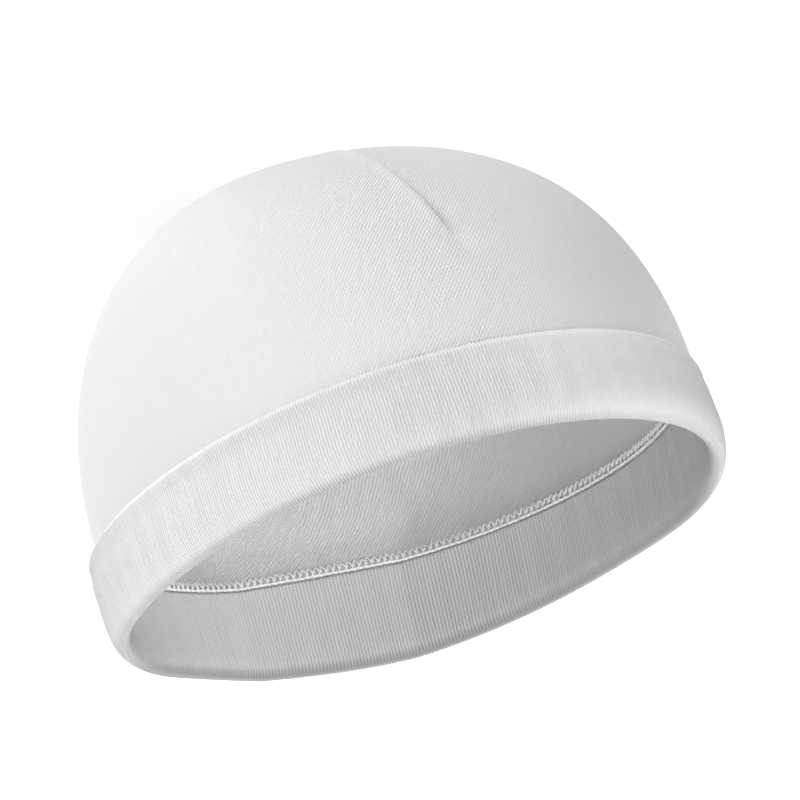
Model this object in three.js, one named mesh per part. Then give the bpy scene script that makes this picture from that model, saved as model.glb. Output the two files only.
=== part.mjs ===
// A close-fitting knit cap lying on its back: a one-piece crown closed by a front-to-back seam, and a
// folded ribbed band sewn to it. Millimetres and degrees, +Z up, left and right alike about X = 0.
// The cap is shaped first as if worn, with X to its side, Y to its back and Z up from the rim,
// and is then laid on its back, with its mouth towards -Y and its top towards +Y.
import * as THREE from "three";

// Reach of the band's outer face from the head's axis, stretched as on a head of about 56 cm.
const RIM = { front: 98.5, back: 100, side: 81.5 };
const BAND_TOP = { front: 97, back: 99, side: 84 };
const WIDEST = 11.5; // how far the widest line lies behind the head's axis

const CAP_HEIGHT = 115;
const BAND_HEIGHT = 24; // to its rolled top edge
const SEAM_HEIGHT = 25.6; // where the crown is sewn on, inside the rolled edge
const BAND_WALL = 4.3; // two layers of rib
const EDGE_ROLL = 1.3; // radius of the band's rolled top edge
const INNER_ROUND = 0.6;
const CROWN_WALL = 1.4; // one layer of jersey
const CROWN_INSET = 2.6; // the band's top edge stands this far proud of the crown
const SEAT = 0.3; // gap between pieces that touch
const RIDGE_SEAT = 0.55; // wider, so that the facets stay clear where the cloth is flattened

// How the crown's reach falls off towards the top, beside a plain dome: above 0 is fuller.
const FULLNESS = {
  front: { low: -0.315, high: -0.168 },
  back: { low: 0.08, high: 0.06 },
  side: { low: 0.085, high: 0.36 },
};

const DART_HEIGHT = 58; // where the crown seam ends, above the rim
const CREASE_DEPTH = 0.8;
const CREASE_WIDTH = 3;
const PUCKER_DEPTH = 1.3;
const PUCKER_WIDTH = 7;
const ALLOWANCE = { width: 1.6, depth: 3.2, taperRows: 4 }; // the crown seam's, inside

const OVERLOCK = { above: 0.7, height: 3.2, depth: 1.3 }; // ridge inside, over the seam

// The cap as it lies, its top a little lower than its rim. The cloth is flattened at the back of the
// band, and the crown under "below" sinks towards the surface by up to "drop". It does so fully from
// "full" to "end" above the rim, and not at all under "start" or over "gone".
const LEAN = 3;
const BACK_PRESS = 4;
const SETTLE = { drop: 8, below: 30, start: 26, full: 38, end: 62, gone: 90 };

const COLUMNS = 64; // facets round the head
const CROWDING = 0.6; // how much closer they are at the front and back
const CROWN_ROWS = 26;
const FOLD_STEPS = 6;
const ROLL_STEPS = 3;
const SLIGHT = 0.002; // step in rise and angle for finding the crown's slope
const NEAR_TOP = 0.999; // rise just short of the top, where the level lines still have a size

const WHITE_JERSEY = { color: 0xf1f0f0, roughness: 0.95, metalness: 0 };
const WHITE_RIB = { color: 0xebeaec, roughness: 0.95, metalness: 0 };
const WHITE_THREAD = { color: 0xf6f5f4, roughness: 0.8, metalness: 0 };

const cap = new THREE.Group();
const angles = columnAngles();
const lean = THREE.MathUtils.degToRad(LEAN);
const floorLevel = BACK_PRESS - BAND_TOP.back * Math.cos(lean) - BAND_HEIGHT * Math.sin(lean);

addPiece("crown", WHITE_JERSEY, crownRings(), false);
addPiece("band", WHITE_RIB, bandRings(), true);
addPiece("overlock_seam", WHITE_THREAD, overlockRings(), true);
addPiece("crown_seam_allowance", WHITE_THREAD, allowanceRings(), false);

// The reference point is the middle of the cap, on the surface that it lies on.
const bounds = new THREE.Box3().setFromObject(cap);
cap.position.y = -(bounds.min.y + bounds.max.y) / 2;

export default cap;

// Angles round the head from the right side, 0, by the back, 90, closer together at front and back.
function columnAngles() {
  const list = [];
  for (let i = 0; i < COLUMNS; i += 1) {
    const even = (i / COLUMNS) * 2 * Math.PI;
    list.push(even + (CROWDING / 2) * Math.sin(2 * even));
  }
  return list;
}

// A point on an egg-shaped level line, moved in square to the line by inset.
function onLevel(plan, angle, inset) {
  const across = Math.cos(angle);
  const along = Math.sin(angle);
  const reach = along > 0 ? plan.back - plan.widest : plan.front + plan.widest;
  const normal = new THREE.Vector2(across / plan.side, along / reach).normalize();
  return new THREE.Vector2(plan.side * across - inset * normal.x,
    plan.widest + reach * along - inset * normal.y);
}

function mix(from, to, share) {
  return from + (to - from) * share;
}

function bandPlan(height) {
  const share = height / BAND_HEIGHT;
  return {
    front: mix(RIM.front, BAND_TOP.front, share),
    back: mix(RIM.back, BAND_TOP.back, share),
    side: mix(RIM.side, BAND_TOP.side, share),
    widest: WIDEST,
  };
}

// The crown's level line, where rise runs from 0 at the band to 1 at the top.
function crownPlan(rise) {
  const shrink = Math.cos((rise * Math.PI) / 2);
  const reach = (size, full) => size * shrink * (1 + full.low * rise + full.high * rise * rise);
  return {
    front: reach(BAND_TOP.front, FULLNESS.front),
    back: reach(BAND_TOP.back, FULLNESS.back),
    side: reach(BAND_TOP.side, FULLNESS.side),
    widest: WIDEST * shrink,
  };
}

function crownHeight(rise) {
  const base = SEAM_HEIGHT + SEAT;
  return base + (CAP_HEIGHT - base) * Math.sin((rise * Math.PI) / 2);
}

function plainCrown(rise, angle) {
  const inset = CROWN_INSET * Math.cos((rise * Math.PI) / 2);
  const flat = onLevel(crownPlan(rise), angle, inset);
  return new THREE.Vector3(flat.x, flat.y, crownHeight(rise));
}

function crownNormal(rise, angle) {
  const round = plainCrown(rise, angle + SLIGHT).sub(plainCrown(rise, angle - SLIGHT));
  const upper = plainCrown(Math.min(rise + SLIGHT, NEAR_TOP), angle);
  const up = upper.sub(plainCrown(rise - SLIGHT, angle));
  return round.cross(up).normalize();
}

function bell(distance, width) {
  return Math.exp(-((distance / width) ** 2));
}

function smooth(value, from, to) {
  return THREE.MathUtils.smoothstep(value, from, to);
}

// How far the crown seam and the puckers at its two ends draw the cloth in.
function drawnIn(point) {
  const crease = CREASE_DEPTH * bell(point.x, CREASE_WIDTH);
  const started = smooth(point.z, DART_HEIGHT, DART_HEIGHT + PUCKER_WIDTH);
  const pucker = PUCKER_DEPTH * bell(Math.hypot(point.x, point.z - DART_HEIGHT), PUCKER_WIDTH);
  return crease * started + pucker;
}

// A point of the crown, deep under its outer face, in the cap as worn. Its lower edge is level.
function crownPoint(rise, angle, deep) {
  const point = plainCrown(rise, angle);
  const normal = crownNormal(Math.max(rise, SLIGHT), angle);
  if (rise === 0) {
    normal.setZ(0).normalize();
  }
  return point.addScaledVector(normal, -deep - drawnIn(point));
}

// Turns a point of the worn cap as it lies, settles it, and holds it at least lift over the surface.
function lay(point, lift) {
  const along = point.z * Math.cos(lean) - point.y * Math.sin(lean);
  const high = -point.z * Math.sin(lean) - point.y * Math.cos(lean) - floorLevel;
  const where = smooth(point.z, SETTLE.start, SETTLE.full) * (1 - smooth(point.z, SETTLE.end, SETTLE.gone));
  const low = Math.max(0, 1 - Math.max(high - lift, 0) / SETTLE.below);
  const settled = high - SETTLE.drop * where * low * low;
  return new THREE.Vector3(point.x, along, Math.max(settled, lift));
}

// How far over the surface the crown is held by the band, which lies under its lower edge.
function heldUp(height) {
  return CROWN_INSET * (1 - smooth(height, SEAM_HEIGHT, SETTLE.full));
}

function crownRing(rise, deep) {
  return angles.map((angle) => {
    const point = crownPoint(rise, angle, deep);
    return lay(point, deep + heldUp(point.z));
  });
}

// The crown's rows from the band up; the second is level with the top of the overlock ridge.
function crownRises() {
  const rises = [0, riseAt(SEAM_HEIGHT + SEAT + OVERLOCK.above + OVERLOCK.height)];
  for (let row = 2; row < CROWN_ROWS; row += 1) {
    rises.push(row / CROWN_ROWS);
  }
  return rises;
}

function crownRings() {
  const rings = [[lay(new THREE.Vector3(0, 0, CAP_HEIGHT - CREASE_DEPTH), 0)]];
  for (const rise of crownRises().reverse()) {
    rings.push(crownRing(rise, 0));
  }
  for (const rise of crownRises()) {
    rings.push(crownRing(rise, CROWN_WALL));
  }
  rings.push([lay(new THREE.Vector3(0, 0, CAP_HEIGHT - CREASE_DEPTH - CROWN_WALL), 0)]);
  return rings;
}

// The folded band's section, from the lower fold up the inner face, over the seam edge and the rolled
// edge and down outside.
function bandSection() {
  const fold = BAND_WALL / 2;
  const section = [];
  for (let i = 0; i <= FOLD_STEPS; i += 1) {
    const turn = (i / FOLD_STEPS) * Math.PI;
    section.push({ inset: fold - fold * Math.cos(turn), height: fold - fold * Math.sin(turn) });
  }
  section.push({ inset: BAND_WALL, height: BAND_HEIGHT / 2 });
  section.push({ inset: BAND_WALL, height: SEAM_HEIGHT - INNER_ROUND });
  section.push({ inset: BAND_WALL - INNER_ROUND, height: SEAM_HEIGHT });
  section.push({ inset: CROWN_INSET, height: SEAM_HEIGHT });
  section.push({ inset: CROWN_INSET - SEAT, height: BAND_HEIGHT });
  for (let i = 0; i <= ROLL_STEPS; i += 1) {
    const turn = ((i / ROLL_STEPS) * Math.PI) / 2;
    section.push({
      inset: EDGE_ROLL - EDGE_ROLL * Math.sin(turn),
      height: BAND_HEIGHT - EDGE_ROLL + EDGE_ROLL * Math.cos(turn),
    });
  }
  section.push({ inset: 0, height: BAND_HEIGHT / 2 });
  return section;
}

// The overlocked edge of band and crown, a low rounded ridge against the crown's inner face.
function overlockSection() {
  const near = CROWN_WALL + RIDGE_SEAT;
  const low = SEAM_HEIGHT + SEAT + OVERLOCK.above;
  const high = low + OVERLOCK.height;
  const far = near + OVERLOCK.depth;
  const corner = OVERLOCK.depth / 2;
  return [
    { deep: near, height: high },
    { deep: near, height: low },
    { deep: near + corner, height: low },
    { deep: far, height: low + corner },
    { deep: far, height: high - corner },
    { deep: near + corner, height: high },
  ];
}

function riseAt(height) {
  const base = crownHeight(0);
  return (Math.asin((height - base) / (CAP_HEIGHT - base)) * 2) / Math.PI;
}

function bandRings() {
  return bandSection().map(({ inset, height }) => angles.map((angle) => {
    const flat = onLevel(bandPlan(height), angle, inset);
    return lay(new THREE.Vector3(flat.x, flat.y, height), inset);
  }));
}

function overlockRings() {
  return overlockSection().map(({ deep, height }) => crownRing(riseAt(height), deep));
}

// The crown seam's allowance runs under the crease, from the front dart point over the top to the back
// one, with a ring at each of the crown's rows, so that the gap between them stays even.
function allowanceRings() {
  const first = Math.ceil(riseAt(DART_HEIGHT + PUCKER_WIDTH) * CROWN_ROWS);
  const front = [];
  const back = [];
  for (let row = first; row < CROWN_ROWS; row += 1) {
    const size = Math.min(1, (row - first) / ALLOWANCE.taperRows);
    front.push(allowanceRing(row / CROWN_ROWS, -Math.PI / 2, size));
    back.unshift(allowanceRing(row / CROWN_ROWS, Math.PI / 2, size));
  }
  const top = allowanceRing(NEAR_TOP, 0, 1);
  return [endPoint(front[0]), ...front, top, ...back, endPoint(back.at(-1))];
}

// A ring's middle, moved a little towards the band, where the allowance ends.
function endPoint(ring) {
  const middle = ring[0].clone().add(ring[2]).divideScalar(2);
  return [middle.add(new THREE.Vector3(0, -SEAT, 0))];
}

function allowanceRing(rise, angle, size) {
  const near = CROWN_WALL + SEAT;
  const far = near + Math.max(ALLOWANCE.depth * size, SEAT);
  const half = ALLOWANCE.width / 2;
  const corners = [[half, near], [-half, near], [-half, far], [half, far]];
  return corners.map(([side, deep]) => {
    const point = crownPoint(rise, angle, deep);
    return lay(point.setX(side), deep + heldUp(point.z));
  });
}

// A closed mesh through rings of corners; a ring of one corner closes an end to a point.
function skin(rings, closesOnItself) {
  const corners = [];
  const faces = [];
  const starts = [];
  for (const ring of rings) {
    starts.push(corners.length / 3);
    for (const corner of ring) {
      corners.push(corner.x, corner.y, corner.z);
    }
  }
  const corner = (ring, column) => starts[ring] + (column % rings[ring].length);
  const spans = closesOnItself ? rings.length : rings.length - 1;
  for (let i = 0; i < spans; i += 1) {
    const j = (i + 1) % rings.length;
    const columns = Math.max(rings[i].length, rings[j].length);
    for (let k = 0; k < columns; k += 1) {
      if (rings[j].length > 1) {
        faces.push(corner(i, k), corner(j, k), corner(j, k + 1));
      }
      if (rings[i].length > 1) {
        faces.push(corner(i, k), corner(j, k + 1), corner(i, k + 1));
      }
    }
  }
  const geometry = new THREE.BufferGeometry();
  geometry.setAttribute("position", new THREE.Float32BufferAttribute(corners, 3));
  geometry.setIndex(faces);
  geometry.computeVertexNormals();
  return geometry;
}

function addPiece(name, look, rings, closesOnItself) {
  const piece = new THREE.Mesh(skin(rings, closesOnItself), new THREE.MeshStandardMaterial(look));
  piece.name = name;
  cap.add(piece);
}
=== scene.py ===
# %% [markdown]
# # A white knit cap, lying on its back
# The cap is a close-fitting skull cap: a crown of fine jersey, and a ribbed band folded at the rim. The
# camera looks past the front of the rim into the cap, so the outside of the front and the inside of the
# far wall both show. The plain solids of the cap come from the frame. This script makes the knitted
# pieces that stand for them: the crown, the band, the overlocked seam between them, and the edge of the
# crown seam.

import math

import bpy
import numpy as np
from mathutils import Matrix, Vector


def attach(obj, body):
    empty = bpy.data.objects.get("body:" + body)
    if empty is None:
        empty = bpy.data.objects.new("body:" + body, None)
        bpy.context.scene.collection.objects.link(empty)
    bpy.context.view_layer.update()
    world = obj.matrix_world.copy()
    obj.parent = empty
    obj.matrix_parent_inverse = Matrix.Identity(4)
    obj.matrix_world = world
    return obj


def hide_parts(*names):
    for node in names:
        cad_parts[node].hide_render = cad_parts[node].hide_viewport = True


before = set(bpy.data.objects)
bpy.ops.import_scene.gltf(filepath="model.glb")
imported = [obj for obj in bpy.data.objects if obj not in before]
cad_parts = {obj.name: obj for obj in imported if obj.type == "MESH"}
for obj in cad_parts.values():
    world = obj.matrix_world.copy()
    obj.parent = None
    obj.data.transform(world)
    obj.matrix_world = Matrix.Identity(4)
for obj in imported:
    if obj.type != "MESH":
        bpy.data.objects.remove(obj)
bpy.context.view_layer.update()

# %% [markdown]
# ## The cap's sizes
# The cap is shaped as if worn, with X to its side, Y to its back and Z up from the rim, on a head of
# about 56 cm round. Blender works in metres, so a size in millimetres is multiplied by MM. Each level
# line of the cap has a reach to the front, to the back and to either side, and is widest a little
# behind its middle, as a head is.

# %% Sizes of the worn cap
MM = 0.001
RIM = {"front": 98.5 * MM, "back": 100 * MM, "side": 81.5 * MM}
BAND_TOP = {"front": 97 * MM, "back": 99 * MM, "side": 84 * MM}
WIDEST = 11.5 * MM
CAP_HEIGHT = 115 * MM
BAND_HEIGHT = 24 * MM
CROWN_BASE = 25.9 * MM
CROWN_INSET = 2.6 * MM
CROWN_WALL = 1.4 * MM
FULLNESS = {"front": (-0.315, -0.168), "back": (0.08, 0.06), "side": (0.085, 0.36)}
DART_HEIGHT = 58 * MM
QUARTER = math.pi / 2

# %% [markdown]
# ## From the head to the table
# The cap lies on its back, its top a little lower than its rim, so worn points are turned by 93 degrees
# about X, and shifted along the table until the middle of the solids' box is at the origin. Cloth is
# soft: what lies on the surface is flattened, and the back of the crown sinks by a few millimetres, less
# the higher it is over the surface.

# %% Laying the cap down
LEAN = math.radians(3)
BACK_PRESS = 4 * MM
SINK = {"drop": 8 * MM, "below": 30 * MM,
        "start": 26 * MM, "full": 38 * MM, "end": 62 * MM, "gone": 90 * MM}
FLOOR_LEVEL = BACK_PRESS - BAND_TOP["back"] * math.cos(LEAN) - BAND_HEIGHT * math.sin(LEAN)
TABLE_SHIFT = -54.8066 * MM


def smooth(value, start, end):
    """0 before start, 1 after end, and smooth between them."""
    share = np.clip((value - start) / (end - start), 0, 1)
    return share * share * (3 - 2 * share)


def turned(direction):
    """A direction of the worn cap, in the cap as it lies."""
    x, y, z = direction
    return Vector((x, z * math.cos(LEAN) - y * math.sin(LEAN), -z * math.sin(LEAN) - y * math.cos(LEAN)))


def lay(points, lift):
    """Worn points as the cap lies: turned, sunk, and held at least lift over the surface."""
    x, y, z = points[..., 0], points[..., 1], points[..., 2]
    along = z * math.cos(LEAN) - y * math.sin(LEAN) + TABLE_SHIFT
    high = -z * math.sin(LEAN) - y * math.cos(LEAN) - FLOOR_LEVEL
    where = smooth(z, SINK["start"], SINK["full"]) * (1 - smooth(z, SINK["end"], SINK["gone"]))
    low = np.maximum(0, 1 - np.maximum(high - lift, 0) / SINK["below"])
    return np.stack([x, along, np.maximum(high - SINK["drop"] * where * low * low, lift)], axis=-1)


print("the cap's back is pressed in by", round(BACK_PRESS / MM), "mm where it lies")

# %% [markdown]
# ## The camera
# A long lens, about 220 mm on a 36 mm sensor, from 1.3 m away: the near rim is hardly larger than the
# far one. Its place is given as turns about the worn cap, because that is how the view was found. The
# picture is also rolled, so the cap's front leans to the left. The cap is a little to the left of the
# picture's middle and a little low in it, which a small aim beside the cap's middle gives.

# %% The camera
VIEW_TURN, VIEW_TILT, VIEW_ROLL = -0.359, -0.298, -0.279
VIEW_DISTANCE = 1305 * MM
LENS, SENSOR = 219.4, 36
AIM_HEIGHT = 52.2 * MM
AIM_RIGHT, AIM_UP = 5.77 * MM, -6.73 * MM

side_on = Vector((math.cos(VIEW_TURN), math.sin(VIEW_TURN), 0))
level = math.cos(VIEW_TILT)
towards = Vector((math.sin(VIEW_TURN) * level, -math.cos(VIEW_TURN) * level, math.sin(VIEW_TILT)))
upright = towards.cross(side_on)
picture_right = math.cos(VIEW_ROLL) * side_on + math.sin(VIEW_ROLL) * upright
picture_up = math.cos(VIEW_ROLL) * upright - math.sin(VIEW_ROLL) * side_on

middle = Vector(lay(np.array([0.0, 0.0, AIM_HEIGHT]), -1.0).tolist())
aim = middle + AIM_RIGHT * turned(picture_right) + AIM_UP * turned(picture_up)
axes = Matrix([turned(picture_right), turned(picture_up), turned(towards)]).transposed()

bpy.ops.object.select_all(action="DESELECT")
bpy.ops.object.camera_add()
camera = bpy.context.object
camera.name = "camera"
camera.matrix_world = Matrix.Translation(aim + VIEW_DISTANCE * turned(towards)) @ axes.to_4x4()
camera.data.lens = LENS
camera.data.sensor_width = SENSOR
camera.data.clip_start = 0.05
bpy.context.scene.camera = camera
print("camera at", [round(value, 3) for value in camera.matrix_world.translation])

# %% [markdown]
# ## Table and light
# A product photographer lays a white cap on a table that glows a little from below, so that the paper
# stays white and the shadow light.

# %% The table
bpy.ops.object.select_all(action="DESELECT")
bpy.ops.mesh.primitive_plane_add(size=6, location=(0, 0, 0))
table = bpy.context.object
table.name = "table"

table_paper = bpy.data.materials.new("white paper")
table_paper.use_nodes = True
paper_shader = table_paper.node_tree.nodes["Principled BSDF"]
paper_shader.inputs["Base Color"].default_value = (0.93, 0.93, 0.93, 1)
paper_shader.inputs["Roughness"].default_value = 0.9
paper_shader.inputs["Emission Color"].default_value = (1, 1, 1, 1)
paper_shader.inputs["Emission Strength"].default_value = 0.33
table.data.materials.append(table_paper)

# %% [markdown]
# The strongest lamp stands on the left of the picture, a little behind the cap, so its outside turns a
# quiet grey to the right. Weaker lamps in front of the open side and over it light the hollow. All are
# large and soft, because a hard shadow would hide the knit.

# %% The lamps
LAMP_SIZE, LAMP_AWAY = 1.05, 1.6


def soft_lamp(name, around, above, brightness):
    """A large round lamp at a direction in degrees; at brightness 1 it makes white paper white."""
    turn, tilt = math.radians(around), math.radians(above)
    way = Vector((math.cos(turn) * math.cos(tilt), math.sin(turn) * math.cos(tilt), math.sin(tilt)))
    bpy.ops.object.select_all(action="DESELECT")
    facing = way.to_track_quat("Z", "Y").to_euler()
    bpy.ops.object.light_add(type="AREA", location=way * LAMP_AWAY, rotation=facing)
    lamp = bpy.context.object
    lamp.name = name
    lamp.data.shape = "DISK"
    lamp.data.size = LAMP_SIZE
    lamp.data.energy = brightness * (math.pi * LAMP_AWAY) ** 2
    print(name, "gives", round(lamp.data.energy, 1), "W")


soft_lamp("main lamp", 137, 25, 0.69)
soft_lamp("open side lamp", 270, 27, 0.42)
soft_lamp("overhead lamp", 228, 60, 0.30)
soft_lamp("high right lamp", 315, 48, 0.33)
soft_lamp("back right lamp", 45, 20, 0.22)

room = bpy.data.worlds.new("dim room")
room.use_nodes = True
walls = room.node_tree.nodes["Background"].inputs
walls["Color"].default_value = (1, 1, 1, 1)
walls["Strength"].default_value = 0.01
bpy.context.scene.world = room
bpy.context.scene.view_settings.view_transform = "Standard"

# %% [markdown]
# ## The head form
# A knitter blocks a cap on a head form. Here the form is a pair of functions: one gives the outer face
# of the band, the other that of the crown. The angle runs from the right side, 0, by the back, 90
# degrees, to the front, -90 degrees.

# %% Level lines


def level_point(plan, angle, inset):
    """Points on an egg-shaped level line, moved in square to it by inset."""
    across, along = np.cos(angle), np.sin(angle)
    reach = np.where(along > 0, plan["back"] - plan["widest"], plan["front"] + plan["widest"])
    normal_x, normal_y = across / plan["side"], along / reach
    length = np.hypot(normal_x, normal_y)
    x = plan["side"] * across - inset * normal_x / length
    y = plan["widest"] + reach * along - inset * normal_y / length
    return x, y


def band_plan(height):
    """The reach of the band's outer face at a height over the rim."""
    share = height / BAND_HEIGHT
    plan = {way: RIM[way] + (BAND_TOP[way] - RIM[way]) * share for way in RIM}
    plan["widest"] = WIDEST
    return plan


def crown_plan(rise):
    """The reach of the crown's outer face; rise is 0 at the band and 1 at the top."""
    shrink = np.cos(rise * QUARTER)
    plan = {way: BAND_TOP[way] * shrink * (1 + low * rise + high * rise ** 2)
            for way, (low, high) in FULLNESS.items()}
    plan["widest"] = WIDEST * shrink
    return plan


def girth_angles(plan):
    """Angles from back to back by the front, and how far round the level line each is, 0 to 1."""
    angle = np.linspace(-3 * QUARTER, QUARTER, 4001)
    x, y = level_point(plan, angle, 0)
    steps = np.hypot(np.diff(x), np.diff(y))
    walked = np.concatenate([[0], np.cumsum(steps)])
    return angle, walked / walked[-1], walked[-1]


band_angles, band_shares, band_girth = girth_angles(band_plan(BAND_HEIGHT / 2))
print("girth of the band:", round(band_girth / MM), "mm")

# %% [markdown]
# The crown seam runs from front to back over the top. The cloth on the left of the picture lies level up
# to the seam, with a low lip. On the right the stitches pull it down, in a hollow that is wider towards
# the seam's end. Where the seam ends, in a dart, the spare cloth puckers. Knit is never quite even, so
# long shallow waves go over all of it.

# %% The crown's outer face
DART_END = DART_HEIGHT + 2.5 * MM
HOLLOW_TOP, HOLLOW_END = (0.62 * MM, 0.9 * MM), (1.40 * MM, 2.5 * MM)
LIP_DEPTH, LIP_AT, LIP_WIDTH = 0.28 * MM, -1.3 * MM, 1.5 * MM
SEWN_FROM, SEWN_FULL = DART_END - 2 * MM, DART_END + 9 * MM
GROOVE_DEPTH, GROOVE_AT, GROOVE_WIDTH = 0.45 * MM, 0.3 * MM, 0.45 * MM
PUCKER_DEPTH, PUCKER_AT = 0.7 * MM, (1.2 * MM, DART_END - 1 * MM)
PUCKER_WIDTH, PUCKER_LENGTH = 3.0 * MM, 6 * MM
EASE_DEPTH = 0.3 * MM
WAVE_DEPTH = 0.22 * MM


def bell(distance, width):
    """1 where distance is 0, falling off smoothly."""
    return np.exp(-(distance / width) ** 2)


def drawn_in(points):
    """How far the crown seam and its puckered ends draw the cloth in."""
    x, z = points[..., 0], points[..., 2]
    sewn = smooth(z, SEWN_FROM, SEWN_FULL)
    to_top = smooth(z, DART_HEIGHT, 0.8 * CAP_HEIGHT)
    depth = HOLLOW_END[0] + (HOLLOW_TOP[0] - HOLLOW_END[0]) * to_top
    width = HOLLOW_END[1] + (HOLLOW_TOP[1] - HOLLOW_END[1]) * to_top
    right_of = np.maximum(x, 0) / width
    hollow = depth * right_of * np.exp(1 - right_of)
    lip = LIP_DEPTH * bell(x - LIP_AT, LIP_WIDTH)
    groove = GROOVE_DEPTH * bell(x - GROOVE_AT, GROOVE_WIDTH) * (0.4 + 0.6 * to_top)
    pucker = PUCKER_DEPTH * bell(x - PUCKER_AT[0], PUCKER_WIDTH) * bell(z - PUCKER_AT[1], PUCKER_LENGTH)
    eased = EASE_DEPTH * smooth(z, 0.4 * CAP_HEIGHT, 0.7 * CAP_HEIGHT)
    return (hollow + groove - lip) * sewn + pucker + eased


def cloth_waves(points):
    """Shallow unevenness of stretched knit, none of it near the band."""
    x, y, z = points[..., 0], points[..., 1], points[..., 2]
    waves = np.sin(x / 0.019 + 1.3 * np.sin(z / 0.031)) * np.cos(z / 0.023 + y / 0.041)
    waves += 0.6 * np.sin(y / 0.017 - z / 0.014 + 2.1) * np.cos(x / 0.027 + 0.7)
    return WAVE_DEPTH * waves * smooth(z, BAND_HEIGHT, 2 * BAND_HEIGHT)


def plain_crown(rise, angle):
    """Outer face of the crown with no seam and no waves. Below rise 0 it goes straight down."""
    over_band = np.maximum(rise, 0)
    x, y = level_point(crown_plan(over_band), angle, CROWN_INSET * np.cos(over_band * QUARTER))
    z = CROWN_BASE + (CAP_HEIGHT - CROWN_BASE) * np.sin(rise * QUARTER)
    return np.stack([x, y, z], axis=-1)


def crown_normal(rise, angle):
    """Directions straight out of the crown."""
    step = 0.002
    below_top = np.minimum(rise, 0.996)
    sideways = plain_crown(below_top, angle + step) - plain_crown(below_top, angle - step)
    upwards = plain_crown(below_top + step, angle) - plain_crown(below_top - step, angle)
    normal = np.cross(sideways, upwards)
    return normal / np.linalg.norm(normal, axis=-1, keepdims=True)


def rise_at(height):
    """The rise at which the crown has a height."""
    return np.arcsin((height - CROWN_BASE) / (CAP_HEIGHT - CROWN_BASE)) / QUARTER


def laid_crown(rise, angle, deep):
    """Points of the laid crown, deep under its outer face."""
    points = plain_crown(rise, angle)
    inward = deep + drawn_in(points) - cloth_waves(points)
    points = points - crown_normal(rise, angle) * np.asarray(inward)[..., None]
    on_band = CROWN_INSET * (1 - smooth(points[..., 2], CROWN_BASE, SINK["full"]))
    return lay(points, deep + on_band)


print("the crown is", round(CAP_HEIGHT / MM), "mm deep, its darts end", round(DART_HEIGHT / MM), "mm up")

# %% [markdown]
# ## Flat cloth, wrapped
# Each piece is made the way cloth is: as a flat strip on a cutting table, which is then wrapped round
# the form. The strip is Blender's grid primitive, from 0 to 1 both ways. The wrapping function says
# where each of its points goes. The strip's two ends then meet, and merging the doubles sews them. The
# UV map is set from the same flat cloth, in millimetres, so the knit follows the cloth and not the room.

# %% A strip of cloth
SEW_GAP = 0.001 * MM


def flat_strip(name, columns, rows):
    """A flat grid of cloth, one unit each way from 0."""
    bpy.ops.object.select_all(action="DESELECT")
    bpy.ops.mesh.primitive_grid_add(
        x_subdivisions=columns, y_subdivisions=rows, size=1, location=(0.5, 0.5, 0))
    bpy.ops.object.transform_apply(location=True)
    strip = bpy.context.object
    strip.name = name
    strip.data.name = name
    return strip


def strip_points(strip):
    """The strip's points as an array."""
    points = np.empty(len(strip.data.vertices) * 3)
    strip.data.vertices.foreach_get("co", points)
    return points.reshape(-1, 3)


def set_uv(strip, name, uv_of_points):
    """Gives the strip a UV map with a place for each of its points."""
    layer = strip.data.uv_layers.get(name) or strip.data.uv_layers.new(name=name)
    corners = np.empty(len(strip.data.loops), dtype=np.int32)
    strip.data.loops.foreach_get("vertex_index", corners)
    layer.data.foreach_set("uv", uv_of_points[corners].astype(np.float32).ravel())


def sew(strip, points):
    """Puts the strip's points in place and sews edges that meet."""
    strip.data.vertices.foreach_set("co", points.astype(np.float32).ravel())
    strip.data.update()
    bpy.ops.object.select_all(action="DESELECT")
    strip.select_set(True)
    bpy.context.view_layer.objects.active = strip
    bpy.ops.object.mode_set(mode="EDIT")
    bpy.ops.mesh.select_all(action="SELECT")
    bpy.ops.mesh.remove_doubles(threshold=SEW_GAP)
    bpy.ops.mesh.select_all(action="SELECT")
    bpy.ops.mesh.normals_make_consistent(inside=False)
    bpy.ops.object.mode_set(mode="OBJECT")
    bpy.ops.object.shade_smooth()
    print(strip.name, "has", len(strip.data.polygons), "faces")


# %% [markdown]
# ## The crown
# One layer of jersey, stretched smooth. Its columns are much closer together beside the crown seam, at
# the front and the back, so that the crease is sharp. Its lower edge goes down behind the rolled edge of
# the band. The wall gets its thickness from a Solidify modifier, inwards.

# %% Wrapping the crown
SEAM_CROWDING, SEAM_SPREAD = 12, math.radians(3)
CROWN_COLUMNS, CROWN_ROWS = 320, 112
TUCKED_IN = 2.6 * MM

fine_angles = np.linspace(-3 * QUARTER, QUARTER, 8001)
crowding = np.ones_like(fine_angles)
for seam in (-3 * QUARTER, -QUARTER, QUARTER):
    crowding += SEAM_CROWDING * bell(fine_angles - seam, SEAM_SPREAD)
crowded = np.concatenate([[0], np.cumsum((crowding[1:] + crowding[:-1]) / 2)])
crowded /= crowded[-1]

crown = flat_strip("crown_jersey", CROWN_COLUMNS, CROWN_ROWS)
flat = strip_points(crown)
crown_angle = np.interp(flat[:, 0], crowded, fine_angles)
lowest_rise = -TUCKED_IN / (CAP_HEIGHT - CROWN_BASE) / QUARTER
crown_rise = lowest_rise + (1 - lowest_rise) * flat[:, 1]
crown_rise[flat[:, 1] > 0.9999] = 1

# %% [markdown]
# The jersey's UV map has the way round as its first number and the way up as its second, both in
# millimetres. Round the head the cloth is stretched less towards the top, so the first number shrinks
# more slowly than the level line does. A second UV map looks straight down on the top, where the first
# one would come to a point.

# %% The crown's UV maps and wall
CLOTH_UP, CLOTH_EASE = 134, 0.6

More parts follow.
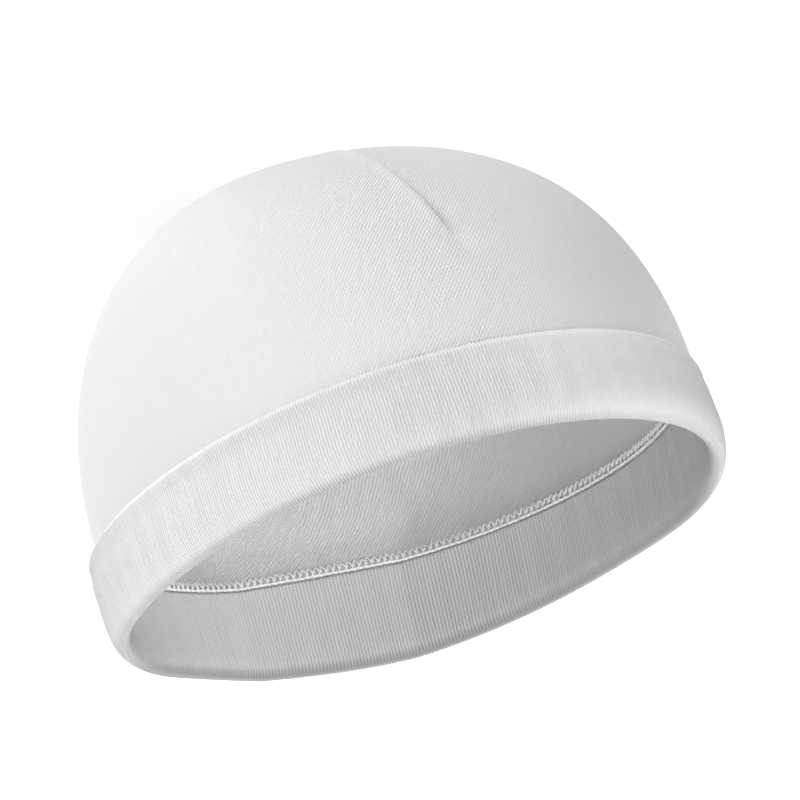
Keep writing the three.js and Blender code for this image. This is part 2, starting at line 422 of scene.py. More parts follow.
size_share = np.cos(np.maximum(crown_rise, 0) * QUARTER)
around = np.interp(crown_angle, band_angles, band_shares) - 0.5
cloth_round = around * band_girth / MM * np.maximum(size_share, 0.02) ** CLOTH_EASE
set_uv(crown, "round", np.stack([cloth_round, crown_rise * CLOTH_UP], axis=-1))
set_uv(crown, "top", plain_crown(crown_rise, crown_angle)[:, :2] / MM)
crown_places = laid_crown(crown_rise, crown_angle, 0)
crown_places[crown_rise == 1] = laid_crown(np.array([0.9999]), np.array([0.0]), 0)[0]
sew(crown, crown_places)
outer_faces = len(crown.data.polygons)

wall = crown.modifiers.new("jersey wall", "SOLIDIFY")
wall.thickness = CROWN_WALL
wall.offset = -1
wall.use_even_offset = False
bpy.ops.object.modifier_apply(modifier=wall.name)
crown.data.uv_layers.active = crown.data.uv_layers["round"]
crown_side = np.arange(len(crown.data.polygons)) >= outer_faces
print("crown faces with its wall:", len(crown.data.polygons))

# %% [markdown]
# ## The band
# A strip of one-by-one rib, folded double, with its fold at the rim and both cut edges in the seam. The
# section below goes from the slot that holds the crown, over the rolled top edge, down the outside,
# round the fold, and up the inside to the lip behind the crown. The outside is a little hollow under the
# rolled edge and full in its lower third, where the two layers are loosest.

# %% The band's section
BAND_SECTION = [
    (2.52, 22.4), (2.50, 23.9), (2.20, 24.5), (1.60, 24.7), (0.90, 24.5), (0.30, 23.95), (-0.02, 23.2),
    (0.08, 22.4), (0.38, 21.5), (0.52, 20.4), (0.46, 18.6), (0.28, 16.2), (0.05, 13.4), (-0.18, 10.6),
    (-0.28, 8.2), (-0.22, 6.0), (0.00, 4.1), (0.32, 2.5), (0.72, 1.25), (1.22, 0.42), (1.80, 0.05),
    (2.40, 0.04), (3.05, 0.35), (3.62, 0.98), (4.02, 1.95), (4.24, 3.3), (4.30, 5.4), (4.22, 11.0),
    (4.26, 17.0), (4.32, 21.0), (4.42, 24.2), (4.55, 25.3), (4.50, 25.85), (4.28, 25.9), (4.12, 25.4),
    (4.10, 22.4)]
section = np.array(BAND_SECTION) * MM
section_ahead = np.roll(section, -1, axis=0) - np.roll(section, 1, axis=0)
section_out = np.stack([section_ahead[:, 1], -section_ahead[:, 0]], axis=-1)
section_out /= np.linalg.norm(section_out, axis=1, keepdims=True)
section_path = np.concatenate([[0], np.cumsum(np.linalg.norm(np.diff(section, axis=0), axis=1))])
print("the rib cloth is", round(section_path[-1] / MM), "mm wide before it is folded")

# %% [markdown]
# Each rib is a column of stitches that stands out, with a column between two ribs that is drawn in. At
# this size that is about 0.9 mm from rib to rib, nearly six hundred in all, and real relief: it makes the
# small teeth along the top edge and the fold. Four points across each rib are enough for it. The ribs
# wander a little and are not all equally deep. The front is stretched less than the back, so its ribs
# are closer together.

# %% Wrapping the band
RIBS = 594
FRONT_CROWDING = 0.11
RIB_POINTS = 4
RIB_RELIEF = np.array([0.20, 0.05, -0.34, 0.05]) * MM
RIB_WANDER = 0.16

band = flat_strip("band_rib", RIBS * RIB_POINTS, len(section))
flat = strip_points(band)
column = np.rint(flat[:, 0] * RIBS * RIB_POINTS).astype(int)
row = np.rint(flat[:, 1] * len(section)).astype(int)
rib_number = column // RIB_POINTS % RIBS
section_row = row % len(section)

wander = RIB_WANDER * np.sin(column / 31.0) * np.sin(section_path[section_row] / (5 * MM) + column / 57.0)
column_share = (column + wander * RIB_POINTS) / (RIBS * RIB_POINTS)
column_share[column == 0] = 0
column_share[column == RIBS * RIB_POINTS] = 1
girth_share = np.linspace(0, 1, 2001)
ribs_walked = girth_share - FRONT_CROWDING * np.sin(girth_share * math.tau) / math.tau
column_share = np.interp(column_share, ribs_walked, girth_share)
band_angle = np.interp(column_share, band_shares, band_angles)

unevenness = 1 + 0.18 * np.sin(rib_number * 2.399) + 0.12 * np.sin(rib_number * 0.611)
in_slot = (section_row <= 1) | (section_row >= len(section) - 3)
relief = np.where(in_slot, 0, RIB_RELIEF[column % RIB_POINTS] * unevenness)
inset = section[section_row, 0] - relief * section_out[section_row, 0]
height = section[section_row, 1] + relief * section_out[section_row, 1]

# %% [markdown]
# The band's UV map counts ribs one way, so that a material can tell a rib from the groove beside it,
# and millimetres of cloth the other way.
#
# Soft cloth isn't an even ring. Near the rim it stands out a little at both ends of the cap, the slot's
# edge lies closer to the crown in front and closest at the right end, and where the cap lies on the table
# the rim waves a millimetre to and fro.

# %% The band's UV map and its place
whole_path = np.append(section_path, section_path[-1] + np.linalg.norm(section[0] - section[-1]))
set_uv(band, "ribs", np.stack([column / RIB_POINTS, whole_path[row] / MM], axis=-1))


def at(middle, width):
    """1 at an angle of the band in degrees, falling off to both sides over width degrees."""
    off = (np.degrees(band_angle) - middle + 180) % 360 - 180
    return bell(off, width)


near_rim = 1 - smooth(height, 10 * MM, BAND_HEIGHT)
under_roll = bell(height - 18.5 * MM, 4 * MM)
outer_layer = 1 - smooth(inset, 1.0 * MM, 2.4 * MM)
fuller = (1.1 * at(-193, 22) + 0.35 * at(-32, 14) + 0.75 * at(-13, 14)) * near_rim
fuller += (0.9 * at(-195, 25) + 0.4 * at(-30, 30)) * under_roll * outer_layer
flatter = 0.28 * (1 - at(-193, 30)) + 0.30 * at(-25, 48)
climb = np.clip((height / MM - 6) / 18, 0, 1.1) ** 1.5
closer = np.maximum(section[0, 0] - inset, 0) * flatter * climb
lifted = (1.35 * at(-238, 18) + 1.7 * at(22, 24) - 1.7 * at(80, 24)) * near_rim
x, y = level_point(band_plan(height), band_angle, inset + closer - fuller * MM)
height = height + lifted * MM
sew(band, lay(np.stack([x, y, height], axis=-1), np.maximum(inset, 0)))
band.data.uv_layers.active = band.data.uv_layers["ribs"]

# %% [markdown]
# ## The overlocked seam
# Band and crown are joined by an overlock seam, which shows inside. It trims the cloth and wraps the cut
# edge in thread: a cord of thread lies along the seam, and loops stand up from it over the edge. The
# cloth edge under the thread is a soft rounded strip.

# %% Places along the seam inside
SEAM_LINE = 26.55 * MM
seam_angles, seam_shares, seam_girth = girth_angles(crown_plan(0.0))
print("the seam is", round(seam_girth / MM), "mm long outside")


def along_seam(share, over, deep):
    """Laid points by the seam: share of the way round, millimetres over its line, depth in the cap."""
    angle = np.interp(share % 1.0, seam_shares, seam_angles)
    return laid_crown(rise_at(SEAM_LINE + over), angle, deep)


# %% The cloth edge under the thread
EDGE_SECTION = np.array([
    (-0.35, 1.42), (-0.42, 1.8), (-0.30, 2.15), (0.05, 2.34), (0.7, 2.36), (1.3, 2.26), (1.75, 2.05),
    (2.0, 1.75), (2.05, 1.5), (1.2, 1.38)]) * MM
EDGE_COLUMNS = 560
EDGE_PULL, EDGE_PULLS = 0.10 * MM, 134

cloth_edge = flat_strip("overlock_edge", EDGE_COLUMNS, len(EDGE_SECTION))
flat = strip_points(cloth_edge)
row = np.rint(flat[:, 1] * len(EDGE_SECTION)).astype(int) % len(EDGE_SECTION)
pull = EDGE_PULL * np.sin(flat[:, 0] * math.tau * EDGE_PULLS)
over = EDGE_SECTION[row, 0] + pull * (EDGE_SECTION[row, 0] > 1 * MM)
share = np.where(flat[:, 0] > 0.99999, 0, flat[:, 0])
set_uv(cloth_edge, "along", np.stack([flat[:, 0] * seam_girth / MM, flat[:, 1] * 8], axis=-1))
sew(cloth_edge, along_seam(share, over, EDGE_SECTION[row, 1]))

# %% [markdown]
# One loop of the thread is modelled and then repeated along the seam with an Array modifier, flat, one
# unit to a loop. It is a short round bar, bent up to a point and down again. Wrapping the row of loops
# round the cap gives each its own place.

# %% One loop of thread
LOOPS = 268
LOOP_HEIGHT, LOOP_DEPTH = 2.25 * MM, 2.95 * MM
TIP_FROM, TIP_SINK = 1.2 * MM, 0.45 * MM
THREAD_RADIUS = 0.33 * MM
loop_length = seam_girth / LOOPS


def thread_bar(name, segments):
    """A round bar one unit long, lying along X from 0."""
    bpy.ops.object.select_all(action="DESELECT")
    bpy.ops.mesh.primitive_cylinder_add(
        vertices=6, radius=1, depth=1, end_fill_type="NOTHING",
        rotation=(0, QUARTER, 0), location=(0.5, 0, 0))
    bar = bpy.context.object
    bar.name = name
    bar.data.name = name
    bpy.ops.object.transform_apply(location=True, rotation=True)
    bpy.ops.object.mode_set(mode="EDIT")
    for cut in range(1, segments):
        bpy.ops.mesh.select_all(action="SELECT")
        bpy.ops.mesh.bisect(plane_co=(cut / segments, 0, 0), plane_no=(1, 0, 0))
    bpy.ops.object.mode_set(mode="OBJECT")
    return bar


def repeat(bar, count):
    """Repeats a one-unit bar along X and joins the ends that meet."""
    row_of = bar.modifiers.new("repeat", "ARRAY")
    row_of.count = count
    row_of.use_relative_offset = False
    row_of.use_constant_offset = True
    row_of.constant_offset_displace = (1, 0, 0)
    row_of.use_merge_vertices = True
    row_of.merge_threshold = 0.001
    bpy.ops.object.modifier_apply(modifier=row_of.name)


# %% [markdown]
# Each loop climbs away from the seam, over the cut edge, and its tip sinks to the cloth beyond. No two
# loops are quite alike: some lean over, and some are longer.

# %% All the loops
loops = thread_bar("overlock_loops", 10)
repeat(loops, LOOPS)
flat = strip_points(loops)
loop_number = np.floor(flat[:, 0] + 1e-4)
part_of_loop = flat[:, 0] - loop_number
lean_over = 0.10 * np.sin(loop_number * 1.7)
longer = 1 + 0.08 * np.sin(loop_number * 2.4)
across_thread = flat[:, 1] * THREAD_RADIUS
up = np.sin(np.clip(part_of_loop, 0, 1) * math.pi) ** 0.8
over = up * LOOP_HEIGHT * longer + across_thread
drop_off = np.clip((over - TIP_FROM) / TIP_FROM, 0, 1)
deep = LOOP_DEPTH - TIP_SINK * drop_off ** 1.5 + flat[:, 2] * THREAD_RADIUS
over = over - across_thread * (1 - np.abs(np.sin(part_of_loop * math.pi)))
thick = across_thread * np.cos(part_of_loop * math.pi) * 1.1 / loop_length
share = (flat[:, 0] - thick + lean_over * up) / LOOPS
set_uv(loops, "along", np.stack([flat[:, 0] * loop_length / MM, flat[:, 1]], axis=-1))
sew(loops, along_seam(share, over, deep))

# %% [markdown]
# The cord is the same bar laid straight along the seam. Its thread swells a little between two stitches,
# not always by as much.

# %% The cord along the seam
CORD_DEPTH, CORD_SWAY = 2.60 * MM, 0.12 * MM

cord = thread_bar("overlock_cord", 6)
repeat(cord, LOOPS)
flat = strip_points(cord)
twist = flat[:, 0] * math.tau
bead = 1 + 0.34 * np.cos(twist) + 0.12 * np.sin(twist * 0.37) + 0.10 * np.sin(twist * 0.153)
sway = CORD_SWAY * (np.sin(twist) + 0.5 * np.sin(twist * 0.23) - 1)
over = flat[:, 1] * THREAD_RADIUS * bead + sway
deep = CORD_DEPTH + flat[:, 2] * THREAD_RADIUS * bead
set_uv(cord, "along", np.stack([flat[:, 0] * loop_length / MM, flat[:, 1]], axis=-1))
sew(cord, along_seam(flat[:, 0] / LOOPS, over, deep))

# %% [markdown]
# ## The crown seam's edge inside
# The crown seam is sewn right sides together, so its two cut edges stand up inside, as a narrow fin
# under the crease. It tapers to nothing at both darts.

# %% The fin of the crown seam
FIN_HALF, FIN_DEPTH = 0.8 * MM, 3.2 * MM
FIN_START, FIN_TAPER = DART_HEIGHT + 5 * MM, 0.16
FIN_WOBBLE, FIN_RIPPLE = 0.15 * MM, 0.1 * MM
FIN_SECTION = np.array([
    (1.0, 0.0), (1.0, 0.35), (1.0, 0.7), (0.75, 0.95), (0.0, 1.0), (-0.75, 0.95), (-1.0, 0.7), (-1.0, 0.35),
    (-1.0, 0.0), (0.0, 0.0)])
FIN_COLUMNS = 240

fin = flat_strip("crown_seam_edge", FIN_COLUMNS, len(FIN_SECTION))
flat = strip_points(fin)
row = np.rint(flat[:, 1] * len(FIN_SECTION)).astype(int) % len(FIN_SECTION)
start_rise = float(rise_at(FIN_START))
walk = (flat[:, 0] - 0.5) * 2
fin_rise = np.minimum(1 - np.abs(walk) * (1 - start_rise), 0.998)
fin_angle = np.where(walk < 0, -QUARTER, QUARTER)
size = smooth(1 - np.abs(walk), 0, FIN_TAPER)
wobble = FIN_WOBBLE * np.sin(walk * 90) * size
deep = CROWN_WALL + FIN_SECTION[row, 1] * (FIN_DEPTH * size + FIN_RIPPLE * np.sin(walk * 61))
points = laid_crown(fin_rise, fin_angle, deep)
points[:, 0] = FIN_SECTION[row, 0] * FIN_HALF * np.maximum(size, 0.02) + wobble
set_uv(fin, "along", np.stack([walk * 120, flat[:, 1] * 9], axis=-1))
sew(fin, points)

# %% [markdown]
# The strip's two ends are open rings of points. Each is filled with one face, so that the fin is closed.

# %% Closing the fin
bpy.ops.object.mode_set(mode="EDIT")
bpy.ops.mesh.select_all(action="DESELECT")
bpy.ops.mesh.select_non_manifold(extend=False)
bpy.ops.mesh.fill_holes(sides=0)
bpy.ops.mesh.select_all(action="SELECT")
bpy.ops.mesh.normals_make_consistent(inside=False)
bpy.ops.object.mode_set(mode="OBJECT")
print("the fin has", len(fin.data.polygons), "faces")

# %% [markdown]
# ## Knit patterns
# The knit itself is too fine for a mesh, so it is drawn by shader nodes. A node group is built once, and
# each material places it with its own numbers. Small helpers keep that short: the first makes an empty
# group, and each of the others makes one node, joins it up and hands back its result.

# %% Helpers for nodes


def new_group(name, inputs, outputs):
    """An empty shader node group with named sockets; an input is a vector or has a number."""
    group = bpy.data.node_groups.new(name, "ShaderNodeTree")
    for socket, value in inputs.items():
        kind = "NodeSocketVector" if value is None else "NodeSocketFloat"
        made = group.interface.new_socket(socket, in_out="INPUT", socket_type=kind)
        if value is not None:
            made.default_value = value
    for socket in outputs:
        group.interface.new_socket(socket, in_out="OUTPUT", socket_type="NodeSocketFloat")
    return group, group.nodes.new("NodeGroupInput").outputs, group.nodes.new("NodeGroupOutput").inputs


def feed(tree, socket, value):
    """Gives a socket a number or a direction, or links another node's result to it."""
    if isinstance(value, (int, float, tuple)):
        socket.default_value = value
    else:
        tree.links.new(value, socket)


def math_node(tree, operation, *values):
    """The result of a Math node."""
    node = tree.nodes.new("ShaderNodeMath")
    node.operation = operation
    for socket, value in zip(node.inputs, values):
        feed(tree, socket, value)
    return node.outputs[0]


def times(tree, first, second):
    """Two values multiplied."""
    return math_node(tree, "MULTIPLY", first, second)


def plus(tree, first, second):
    """Two values added."""
    return math_node(tree, "ADD", first, second)


def split(tree, vector):
    """The X and the Y of a vector."""
    node = tree.nodes.new("ShaderNodeSeparateXYZ")
    tree.links.new(vector, node.inputs["Vector"])
    return node.outputs["X"], node.outputs["Y"]


def ramp(tree, value, begins, ends, before=0.0, after=1.0, kind="SMOOTHSTEP"):
    """A share that goes over from before to after between two values."""
    node = tree.nodes.new("ShaderNodeMapRange")
    node.interpolation_type = kind
    sockets = ("Value", "From Min", "From Max", "To Min", "To Max")
    for socket, given_value in zip(sockets, (value, begins, ends, before, after)):
        feed(tree, node.inputs[socket], given_value)
    return node.outputs["Result"]


def noise(tree, vector, scale, detail, roughness=0.5):
    """The result of a Noise Texture node."""
    node = tree.nodes.new("ShaderNodeTexNoise")
    for socket, value in zip(("Vector", "Scale", "Detail", "Roughness"), (vector, scale, detail, roughness)):
        feed(tree, node.inputs[socket], value)
    return node.outputs["Fac"]


# %% [markdown]
# The first group draws jersey: slanting lines of stitches, broken at each stitch, and wandering a
# little. It gives the height of the cloth, for a Bump node, and where the grooves are.

# %% The jersey group
jersey_lines, given, result = new_group(
    "jersey lines", {"Cloth": None, "Slant": 0.82, "Pitch": 0.8, "Stitch": 1.5, "Wander": 0.6},
    ["Height", "Groove"])
turn = jersey_lines.nodes.new("ShaderNodeVectorRotate")
turn.rotation_type = "Z_AXIS"
feed(jersey_lines, turn.inputs["Vector"], given["Cloth"])
feed(jersey_lines, turn.inputs["Angle"], times(jersey_lines, given["Slant"], -1))
along_line, over_lines = split(jersey_lines, turn.outputs["Vector"])
drift = times(jersey_lines, noise(jersey_lines, given["Cloth"], 0.35, 2), given["Wander"])
line = math_node(jersey_lines, "DIVIDE", plus(jersey_lines, over_lines, drift), given["Pitch"])
line_wave = math_node(jersey_lines, "COSINE", times(jersey_lines, line, math.tau))
line_high = math_node(jersey_lines, "MULTIPLY_ADD", line_wave, 0.5, 0.5)
every_other = times(jersey_lines, math_node(jersey_lines, "ROUND", line), 0.5)
stitch = plus(jersey_lines, math_node(jersey_lines, "DIVIDE", along_line, given["Stitch"]), every_other)
stitch_wave = math_node(jersey_lines, "COSINE", times(jersey_lines, stitch, math.tau))
stitch_high = math_node(jersey_lines, "MULTIPLY_ADD", stitch_wave, 0.28, 0.72)
feed(jersey_lines, result["Height"], times(jersey_lines, line_high, stitch_high))
between_lines = math_node(jersey_lines, "SUBTRACT", 1.0, line_high)
feed(jersey_lines, result["Groove"], math_node(jersey_lines, "POWER", between_lines, 2.0))
print("node group", jersey_lines.name, "has", len(jersey_lines.nodes), "nodes")

# %% [markdown]
# Rib knit is drawn on the ribs that the mesh already has: small chevrons up each rib, and a groove
# between ribs that a little less light comes out of. The UV map counts ribs, so a whole number is the
# top of a rib and a half is the groove.

# %% The rib group
rib_stitches, given, result = new_group("rib stitches", {"Cloth": None, "Stitch": 0.62}, ["Height", "Groove"])
over_ribs, up_rib = split(rib_stitches, given["Cloth"])
half_turn = math_node(rib_stitches, "SINE", times(rib_stitches, over_ribs, math.pi))
leg = math_node(rib_stitches, "ABSOLUTE", half_turn)
climb = math_node(rib_stitches, "DIVIDE", up_rib, given["Stitch"])
chevron = plus(rib_stitches, climb, times(rib_stitches, leg, 0.6))
wave = math_node(rib_stitches, "COSINE", times(rib_stitches, chevron, math.tau))
on_rib = math_node(rib_stitches, "SUBTRACT", 1.0, times(rib_stitches, leg, 0.7))
feed(rib_stitches, result["Height"], times(rib_stitches, wave, on_rib))
feed(rib_stitches, result["Groove"], math_node(rib_stitches, "POWER", leg, 4.0))

# %% [markdown]
# All the yarns are the same soft white cotton. This group gives what they share: a fuzz finer than a
# stitch, and a slow change of tone, because dye and light take to knit unevenly.

# %% The soft yarn group
soft_yarn, given, result = new_group("soft yarn", {"Cloth": None, "Fuzz Size": 2.0}, ["Fuzz", "Tone"])
feed(soft_yarn, result["Fuzz"], noise(soft_yarn, given["Cloth"], given["Fuzz Size"], 4, 0.65))
feed(soft_yarn, result["Tone"], noise(soft_yarn, given["Cloth"], 0.09, 4))

# %% [markdown]
# The stitches are deepest in the middle of the cap, and pulled flat where the cloth is stretched round
# its sides. This group gives how deep they are at a place, from the object's own X. The numbers are the
# middle, and how far the pattern reaches to its left and right, in millimetres. Where the depth is low the
# materials also paint a shade into the colour, a painted shade that darkens the cap towards its sides.

# %% The stretch group
stretch, given, result = new_group(
    "deep in the middle", {"Middle": 0.0, "Left": 50.0, "Right": 30.0}, ["Depth"])
object_place = stretch.nodes.new("ShaderNodeTexCoord").outputs["Object"]
sideways = times(stretch, split(stretch, object_place)[0], 1000.0)
off_middle = math_node(stretch, "SUBTRACT", sideways, given["Middle"])
to_right = math_node(stretch, "DIVIDE", math_node(stretch, "MAXIMUM", off_middle, 0.0), given["Right"])
to_left = math_node(stretch, "DIVIDE", math_node(stretch, "MINIMUM", off_middle, 0.0), given["Left"])
reach = math_node(stretch, "POWER", math_node(stretch, "SUBTRACT", to_right, to_left), 2.0)
fall = math_node(stretch, "EXPONENT", times(stretch, reach, -1.0))
feed(stretch, result["Depth"], math_node(stretch, "MULTIPLY_ADD", fall, 0.84, 0.16))

# %% [markdown]
# Right of the crown seam the cloth falls away into the crease and looks greyer. This group paints that
# shade into the colour, a painted shade: full just right of the seam, fading out over some millimetres, and
# none below the dart. It takes the crown's two UV maps, since the one that looks straight down has the
# distance from the seam as its first number.

# %% The seam shade group
SHADE_FROM, SHADE_FULL = 31, 37

seam_shade, given, result = new_group("seam shade", {"Round": None, "Top": None, "Fade": 5.5}, ["Shade"])
from_seam, up_crown = split(seam_shade, given["Top"])[0], split(seam_shade, given["Round"])[1]
above_dart = ramp(seam_shade, up_crown, SHADE_FROM, SHADE_FULL)
right_side = ramp(seam_shade, from_seam, -0.3, 0.5, kind="LINEAR")
away = math_node(seam_shade, "DIVIDE", math_node(seam_shade, "MAXIMUM", from_seam, 0.0), given["Fade"])
fading = math_node(seam_shade, "EXPONENT", times(seam_shade, away, -1.0))
feed(seam_shade, result["Shade"], times(seam_shade, times(seam_shade, fading, right_side), above_dart))

# %% [markdown]
# Some painted shade belongs to one end of the cap only. The last group is a mask for it: 0 up to one
# distance along a direction through the object, and a share past another, in millimetres.

# %% The place group
by_place, given, result = new_group(
    "by place", {"Way": None, "Begins": 0.0, "Ends": 10.0, "Share": 1.0}, ["Shade"])
along_way = by_place.nodes.new("ShaderNodeVectorMath")
along_way.operation = "DOT_PRODUCT"
feed(by_place, along_way.inputs[0], by_place.nodes.new("ShaderNodeTexCoord").outputs["Object"])
feed(by_place, along_way.inputs[1], given["Way"])
distance = times(by_place, along_way.outputs["Value"], 1000.0)
feed(by_place, result["Shade"], ramp(by_place, distance, given["Begins"], given["Ends"], 0.0, given["Share"]))

# %% [markdown]
# ## The materials
# Each material mixes a light and a groove colour by its pattern, and bumps the surface with the pattern
# and the fuzz. Sheen stands for the haze of fine fibres that catches light at the edges of knit.

# %% Helpers for materials


def cloth_material(name, sheen):
    """A material with a matte cloth shader."""
    material = bpy.data.materials.new(name)
    material.use_nodes = True
    shader = material.node_tree.nodes["Principled BSDF"]
    shader.inputs["Roughness"].default_value = 0.95
    shader.inputs["Specular IOR Level"].default_value = 0.2
    shader.inputs["Sheen Weight"].default_value = sheen
    shader.inputs["Sheen Roughness"].default_value = 0.6
    return material, material.node_tree, shader.inputs


def cloth_map(tree, name):
    """The output of a UV map."""
    node = tree.nodes.new("ShaderNodeUVMap")
    node.uv_map = name
    return node.outputs["UV"]


def place_group(tree, group, **values):
    """The results of a node group that is placed with its own links and numbers."""
    node = tree.nodes.new("ShaderNodeGroup")
    node.node_tree = group
    for name, value in values.items():
        feed(tree, node.inputs[name], value)
    return node.outputs


def mix(tree, kind, factor, first, second):
    """A number or colour between two others."""
    node = tree.nodes.new("ShaderNodeMix")
    node.data_type = kind
    for socket, value in zip(("Factor", "A", "B"), (factor, first, second)):
        feed(tree, node.inputs[socket], value)
    return node.outputs["Result"]


def knit_shade(tree, groove, yarn, depth, groove_share, side_shade_share, tone_share):
    """How grey cotton looks: in grooves broken up by fuzz, a painted shade where it is pulled flat towards
    the cap's sides, and by its tone.
    """
    grooves = times(tree, times(tree, groove, times(tree, yarn["Fuzz"], 2 * groove_share)), depth)
    # Painted shade: darker where the stitches lie flat, towards the cap's sides.
    sides = times(tree, math_node(tree, "SUBTRACT", 1.0, depth), side_shade_share)
    return plus(tree, plus(tree, grooves, sides), times(tree, yarn["Tone"], tone_share))


def finish_cloth(tree, shader, shade, white, groove_white, height, relief):
    """Colours the cloth by its shade, and bumps it by its height as a share of the relief."""
    feed(tree, shader["Base Color"], mix(tree, "RGBA", shade, (*white, 1.0), (*groove_white, 1.0)))
    bump = tree.nodes.new("ShaderNodeBump")
    bump.inputs["Strength"].default_value = 1.0
    bump.inputs["Distance"].default_value = relief
    feed(tree, bump.inputs["Height"], height)
    feed(tree, shader["Normal"], bump.outputs["Normal"])


# %% [markdown]
# Jersey has two faces. Outside its stitches lie smooth, and inside the backs of the stitches stand out
# more, and the lines seem to slant the other way round the cap. So the crown has two materials, made by
# one function. Over the top each changes to the UV map that looks straight down. The outside has a painted
# shade at the cap's left end, so that it stands out from white paper.

# %% The crown's jersey
TOP_FROM, TOP_FULL = 112, 120


def jersey_face(name, white, groove_white, slant, relief,
                groove_share, side_shade_share, seam_share, left_shade_share, reach):
    """The material of one face of the jersey."""
    material, tree, shader = cloth_material(name, 0.15)
    round_map, top_map = cloth_map(tree, "round"), cloth_map(tree, "top")
    round_knit = place_group(tree, jersey_lines, Cloth=round_map, Slant=slant)
    top_knit = place_group(tree, jersey_lines, Cloth=top_map, Slant=slant)
    at_top = ramp(tree, split(tree, round_map)[1], TOP_FROM, TOP_FULL, kind="LINEAR")
    height = mix(tree, "FLOAT", at_top, round_knit["Height"], top_knit["Height"])
    groove = mix(tree, "FLOAT", at_top, round_knit["Groove"], top_knit["Groove"])
    yarn = place_group(tree, soft_yarn, Cloth=round_map)
    depth = place_group(tree, stretch, Middle=reach[0], Left=reach[1], Right=reach[2])["Depth"]
    shade = knit_shade(tree, groove, yarn, depth, groove_share, side_shade_share, 0.06)
    # A painted shade right of the crown seam.
    by_seam = place_group(tree, seam_shade, Round=round_map, Top=top_map)["Shade"]
    shade = plus(tree, shade, times(tree, by_seam, seam_share))
    # A painted shade at the cap's left end.
    painted_left_shade = place_group(tree, by_place, Way=(1, 0, 0), Begins=-45, Ends=-92, Share=left_shade_share)["Shade"]
    fuzzy = times(tree, plus(tree, height, times(tree, yarn["Fuzz"], 1.2)), depth)
    finish_cloth(tree, shader, plus(tree, shade, painted_left_shade), white, groove_white, fuzzy, relief)
    return material


jersey_outside = jersey_face(
    "white jersey outside", white=(0.97, 0.97, 0.97), groove_white=(0.70, 0.70, 0.70), slant=0.88,
    relief=0.25 * MM, groove_share=0.7, side_shade_share=0.68, seam_share=0.45, left_shade_share=0.38, reach=(-14, 32, 26))
jersey_inside = jersey_face(
    "white jersey inside", white=(0.98, 0.98, 0.98), groove_white=(0.64, 0.64, 0.64), slant=-0.74,
    relief=0.60 * MM, groove_share=0.85, side_shade_share=1.4, seam_share=0.0, left_shade_share=0.0, reach=(10, 190, 48))

# %% [markdown]
# Held up to a lamp, single jersey glows. Subsurface scattering gives that: light that falls on the
# outside goes through the wall and leaves it inside. Only the inner face needs it, and its radius is
# about as large as the wall is thick.

# %% Light through the jersey
see_through = jersey_inside.node_tree.nodes["Principled BSDF"].inputs
see_through["Subsurface Weight"].default_value = 0.8
see_through["Subsurface Radius"].default_value = (1, 1, 1)
see_through["Subsurface Scale"].default_value = CROWN_WALL

crown.data.materials.append(jersey_outside)
crown.data.materials.append(jersey_inside)
crown.data.polygons.foreach_set("material_index", crown_side.astype(np.int32))
crown.data.update()

# %% [markdown]
# The rib knit is two layers thick, so hardly any light comes through it into the cap. The inner layer is
# therefore painted a deeper white, a painted shade for the light that does not reach it. The strip's faces
# are numbered row by row, from the slot over the outside to the inside, so their number says which layer
# they are in. Along the slot's edge a painted highlight makes the rolled edge look whiter, with a light
# painted shade in the hollow under it. In the fold a painted shade darkens the ribs, deeper where the fold
# is low and gets less light from above. EDGE_AT and FOLD_AT say how far along the cloth the slot's edge
# and the fold are, in millimetres.

# %% The band's rib knit
EDGE_AT, FOLD_AT = section_path[6] / MM, section_path[21] / MM
FOLD_ROW = 22
LOW_WAY, LOW_FROM, LOW_FULL = (-0.42, 0, 0.91), 75, 45


def rib_layer(name, white, groove_white, groove_share, side_shade_share, reach, shades, low_share):
    """The material of one layer of the band. Each of the shades is a painted shade, or a painted highlight
    where it is negative, that goes over from one share to another between two places along the cloth, and
    low_share is how much more the last one has where it is low."""
    material, tree, shader = cloth_material(name, 0.15)
    rib_map = cloth_map(tree, "ribs")
    ribs = place_group(tree, rib_stitches, Cloth=rib_map)
    yarn = place_group(tree, soft_yarn, Cloth=rib_map)
    depth = place_group(tree, stretch, Middle=reach[0], Left=reach[1], Right=reach[2])["Depth"]
    shade = knit_shade(tree, ribs["Groove"], yarn, depth, groove_share, side_shade_share, 0.055)
    along_cloth = split(tree, rib_map)[1]
    # Painted shades along the cloth; a negative one is a painted highlight.
    for place in shades:
        fold_shade = ramp(tree, along_cloth, *place)
        shade = plus(tree, shade, fold_shade)
    # The fold's painted shade is deeper where the band lies low.
    low = place_group(tree, by_place, Way=LOW_WAY, Begins=LOW_FROM, Ends=LOW_FULL, Share=low_share)["Shade"]
    shade = plus(tree, shade, times(tree, fold_shade, low))
    fuzzy = times(tree, plus(tree, ribs["Height"], times(tree, yarn["Fuzz"], 1.5)), depth)
    finish_cloth(tree, shader, shade, white, groove_white, fuzzy, 0.09 * MM)
    return material
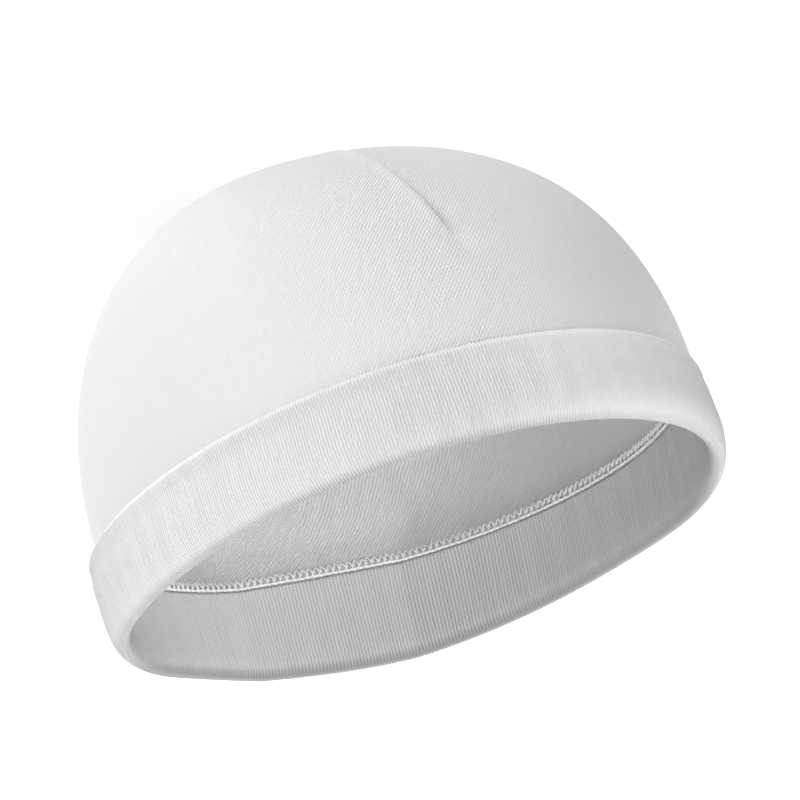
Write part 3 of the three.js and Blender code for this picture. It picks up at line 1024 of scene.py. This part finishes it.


# Outside: a painted highlight on the slot's edge, a painted shade under it and in the fold.
band.data.materials.append(rib_layer(
    "white rib outside", white=(0.98, 0.975, 0.985), groove_white=(0.42, 0.41, 0.43),
    groove_share=0.57, side_shade_share=0.095, reach=(-23, 75, 32), low_share=0.6,
    shades=[(EDGE_AT - 1.0, EDGE_AT + 0.3, -0.38, 0), (EDGE_AT + 1, EDGE_AT + 6, 0.07, 0),
            (FOLD_AT - 3.5, FOLD_AT + 0.6, 0, 0.72)]))
# Inside: the deeper white and the fold's shade are both painted shade.
band.data.materials.append(rib_layer(
    "white rib inside", white=(0.765, 0.75, 0.765), groove_white=(0.33, 0.32, 0.33),
    groove_share=0.60, side_shade_share=0.105, reach=(20, 75, 48), low_share=1.5,
    shades=[(FOLD_AT + 0.3, FOLD_AT + 4.5, 0.39, 0)]))
face_count = len(band.data.polygons)
face_row = np.arange(face_count) * len(section) // face_count
band.data.polygons.foreach_set("material_index", (face_row >= FOLD_ROW).astype(np.int32))
band.data.update()
print("faces of the inner layer:", int((face_row >= FOLD_ROW).sum()))

# %% [markdown]
# Thread is spun, so fine slanting plies run round it. The same jersey group gives them, at a thread's
# scale. The cloth edge under the thread shows only between its loops, and is painted greyer, a painted
# shade for the shadow between the loops.

# %% The seam thread and the cut edge


def spun_yarn(name, white, groove_white, pitch, relief):
    """The material of thread, or of the cut edge that it covers."""
    material, tree, shader = cloth_material(name, 0.1)
    thread_map = cloth_map(tree, "along")
    plies = place_group(tree, jersey_lines, Cloth=thread_map, Slant=1.1, Pitch=pitch, Stitch=3.0, Wander=0.05)
    tone = place_group(tree, soft_yarn, Cloth=thread_map)["Tone"]
    shade = plus(tree, times(tree, plies["Groove"], 0.4), times(tree, tone, 0.1))
    finish_cloth(tree, shader, shade, white, groove_white, plies["Height"], relief)
    return material


thread = spun_yarn("white seam thread", (0.97, 0.97, 0.965), (0.88, 0.88, 0.875), 0.35, 0.04 * MM)
# The cut edge's grey is a painted shade under the loops.
raw_edge = spun_yarn("raw cloth edge", (0.72, 0.72, 0.72), (0.54, 0.54, 0.54), 0.7, 0.10 * MM)
for piece in (loops, cord, fin):
    piece.data.materials.append(thread)
cloth_edge.data.materials.append(raw_edge)

# %% [markdown]
# ## What stands for what
# Every new piece moves with the cap's one body and hides the plain solid that it stands for. The solids
# stay for the physics.

# %% Tying the pieces to the frame
for piece in (crown, band, cloth_edge, loops, cord, fin):
    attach(piece, "root")
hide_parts("crown")
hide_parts("band")
for piece in (cloth_edge, loops, cord):
    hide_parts("overlock_seam")
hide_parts("crown_seam_allowance")
